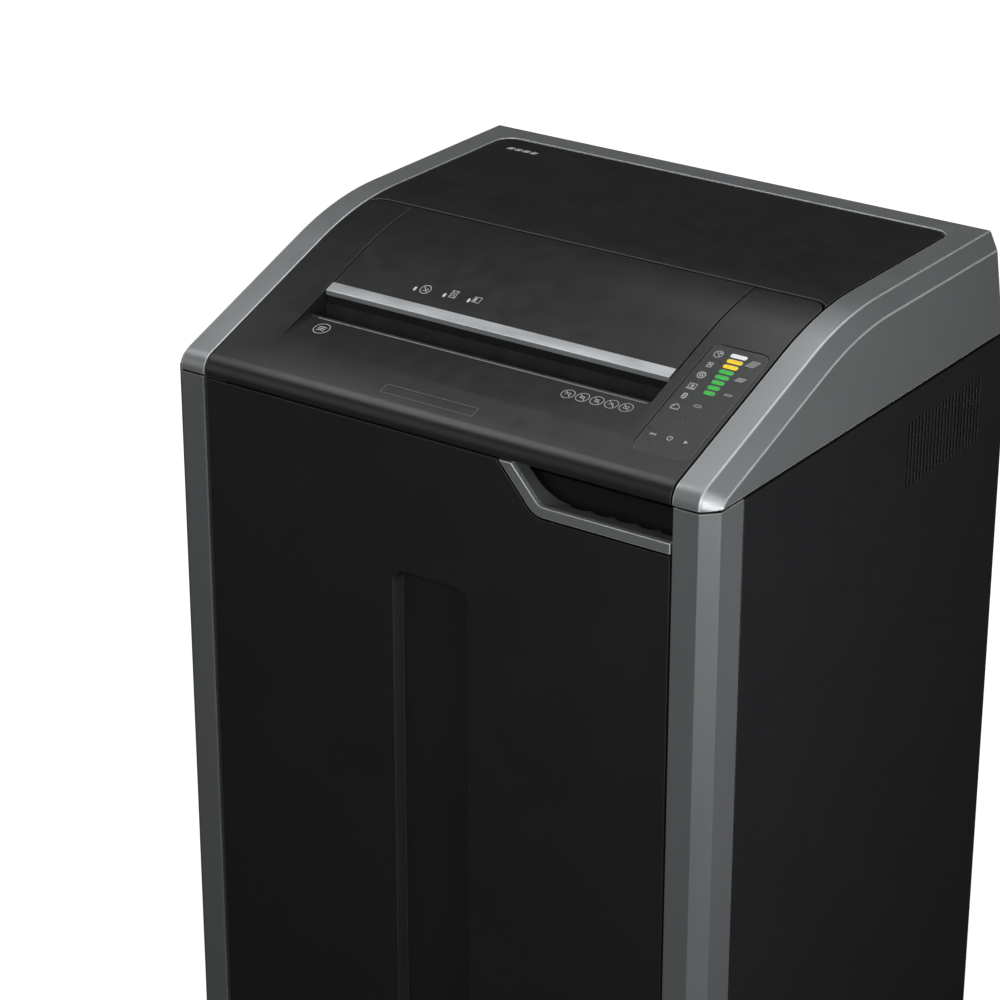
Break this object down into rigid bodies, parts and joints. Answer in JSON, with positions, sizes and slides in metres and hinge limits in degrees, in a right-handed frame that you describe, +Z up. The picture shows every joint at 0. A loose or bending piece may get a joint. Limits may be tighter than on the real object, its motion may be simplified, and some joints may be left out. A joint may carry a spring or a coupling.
{
  "type": "paper shredder",
  "caption": "Floor-standing office paper shredder with sloping feed hood, hinged door, pull-out waste bin, hinged service lid and swivelling castors.",
  "frame": {"origin": "on the floor under the middle of the cabinet", "axes": "+X to the operator's right, +Y to the back, +Z up"},
  "size_m": [0.64, 0.58, 1.066],
  "materials": {
    "grey_moulding": "satin charcoal-grey moulding",
    "black_moulding": "fine-textured black moulding",
    "silver_trim": "satin silver trim",
    "smoked_panel": "smoked, semi-gloss touch panel",
    "light_guide": "translucent light guides, white, yellow and green",
    "grey_steel": "satin charcoal powder coat",
    "black_steel": "fine-textured black powder coat",
    "zinc_steel": "zinc-plated sheet",
    "machined_steel": "machined steel, lightly oiled",
    "cutter_steel": "hardened tool steel",
    "motor_paint": "painted motor casing",
    "black_nylon": "black nylon",
    "bin_plastic": "dark grey moulded bin",
    "oil_plastic": "natural polyethylene bottle",
    "board_green": "circuit board",
    "tread": "dark rubber tread",
    "bearing_brass": "bronze bearing"
  },
  "bodies": {
    "cabinet": {"hood_frame": "grey_moulding", "front_fascia": "black_moulding", "entry_panel": "black_moulding", "entry_strip": "silver_trim", "control_glass": "smoked_panel", "indicator_lights": "light_guide", "lid_hinges": "zinc_steel", "service_tray": "black_nylon", "oil_tank": "oil_plastic", "left_corner_post": "grey_steel", "right_corner_post": "grey_steel", "left_side_panel": "black_steel", "right_side_panel": "black_steel", "rear_panel": "black_steel", "panel_screws": "machined_steel", "base_pan": "black_steel", "plinth_bar": "black_steel", "top_frame": "zinc_steel", "mechanism_shelf": "zinc_steel", "inner_front_panel": "black_steel", "shred_chute": "zinc_steel", "bin_runners": "zinc_steel", "door_hinge_pins": "machined_steel", "door_catch": "black_nylon", "door_switch": "black_nylon", "chassis_plates": "zinc_steel", "cutter_bearings": "bearing_brass", "motor_body": "motor_paint", "stripper_combs": "zinc_steel", "throat_guides": "machined_steel", "chassis_pins": "machined_steel", "control_board": "board_green", "power_inlet": "black_nylon", "switch_housing": "black_nylon", "castor_mounts": "zinc_steel"},
    "door": {"door_skin": "black_steel", "door_liner": "zinc_steel", "door_trim": "grey_moulding", "door_grip": "black_moulding", "door_bushes": "black_nylon"},
    "bin": {"waste_bin": "bin_plastic", "bin_handle": "black_nylon"},
    "lid": {"service_lid": "black_moulding"},
    "rear_cutter": {"rear_cutter": "cutter_steel", "rear_sync_gear": "machined_steel", "drive_gear": "machined_steel"},
    "front_cutter": {"front_cutter": "cutter_steel", "front_sync_gear": "machined_steel"},
    "reduction_gear": {"reduction_gear": "machined_steel"},
    "rotor": {"motor_rotor": "machined_steel", "cooling_fan": "black_nylon"},
    "rocker": {"power_rocker": "black_nylon"},
    "fork_front_left": {"castor_fork_front_left": "zinc_steel"},
    "wheel_front_left": {"castor_wheel_front_left": "tread"},
    "fork_front_right": {"castor_fork_front_right": "zinc_steel"},
    "wheel_front_right": {"castor_wheel_front_right": "tread"},
    "fork_rear_left": {"castor_fork_rear_left": "zinc_steel"},
    "wheel_rear_left": {"castor_wheel_rear_left": "tread"},
    "fork_rear_right": {"castor_fork_rear_right": "zinc_steel"},
    "wheel_rear_right": {"castor_wheel_rear_right": "tread"}
  },
  "joints": [
    {"name": "door_hinge", "type": "hinge", "parent": "cabinet", "child": "door", "pos_m": [-0.267, -0.282, 0.5], "axis": [0, 0, -1], "range_deg": [0, 100]},
    {"name": "bin_slide", "type": "slide", "parent": "cabinet", "child": "bin", "axis": [0, -1, 0], "range_m": [0, 0.21]},
    {"name": "lid_hinge", "type": "hinge", "parent": "cabinet", "child": "lid", "pos_m": [0, 0.216, 1.059], "axis": [-1, 0, 0], "range_deg": [0, 80]},
    {"name": "rear_cutter_spin", "type": "hinge", "parent": "cabinet", "child": "rear_cutter", "pos_m": [0, -0.14, 0.915], "axis": [1, 0, 0], "continuous": true},
    {"name": "front_cutter_spin", "type": "hinge", "parent": "cabinet", "child": "front_cutter", "pos_m": [0, -0.19, 0.915], "axis": [1, 0, 0], "continuous": true},
    {"name": "reduction_spin", "type": "hinge", "parent": "cabinet", "child": "reduction_gear", "pos_m": [0, -0.07429, 0.94564], "axis": [1, 0, 0], "continuous": true},
    {"name": "rotor_spin", "type": "hinge", "parent": "cabinet", "child": "rotor", "pos_m": [0, -0.02308, 0.93661], "axis": [1, 0, 0], "continuous": true},
    {"name": "main_switch", "type": "hinge", "parent": "cabinet", "child": "rocker", "pos_m": [0.19, 0.281, 0.15], "axis": [1, 0, 0], "range_deg": [0, 20]},
    {"name": "swivel_front_left", "type": "hinge", "parent": "cabinet", "child": "fork_front_left", "pos_m": [-0.262, -0.232, 0.04], "axis": [0, 0, 1], "continuous": true},
    {"name": "roll_front_left", "type": "hinge", "parent": "fork_front_left", "child": "wheel_front_left", "pos_m": [-0.262, -0.214, 0.025], "axis": [1, 0, 0], "continuous": true},
    {"name": "swivel_front_right", "type": "hinge", "parent": "cabinet", "child": "fork_front_right", "pos_m": [0.262, -0.232, 0.04], "axis": [0, 0, 1], "continuous": true},
    {"name": "roll_front_right", "type": "hinge", "parent": "fork_front_right", "child": "wheel_front_right", "pos_m": [0.262, -0.214, 0.025], "axis": [1, 0, 0], "continuous": true},
    {"name": "swivel_rear_left", "type": "hinge", "parent": "cabinet", "child": "fork_rear_left", "pos_m": [-0.262, 0.232, 0.04], "axis": [0, 0, 1], "continuous": true},
    {"name": "roll_rear_left", "type": "hinge", "parent": "fork_rear_left", "child": "wheel_rear_left", "pos_m": [-0.262, 0.25, 0.025], "axis": [1, 0, 0], "continuous": true},
    {"name": "swivel_rear_right", "type": "hinge", "parent": "cabinet", "child": "fork_rear_right", "pos_m": [0.262, 0.232, 0.04], "axis": [0, 0, 1], "continuous": true},
    {"name": "roll_rear_right", "type": "hinge", "parent": "fork_rear_right", "child": "wheel_rear_right", "pos_m": [0.262, 0.25, 0.025], "axis": [1, 0, 0], "continuous": true}
  ],
  "couplings": [
    {"joint": "bin_slide", "follows": "door_hinge", "m_per_rad": 0.12},
    {"joint": "reduction_spin", "follows": "rotor_spin", "ratio": -0.3},
    {"joint": "rear_cutter_spin", "follows": "rotor_spin", "ratio": 0.095455},
    {"joint": "front_cutter_spin", "follows": "rotor_spin", "ratio": -0.095455}
  ]
}
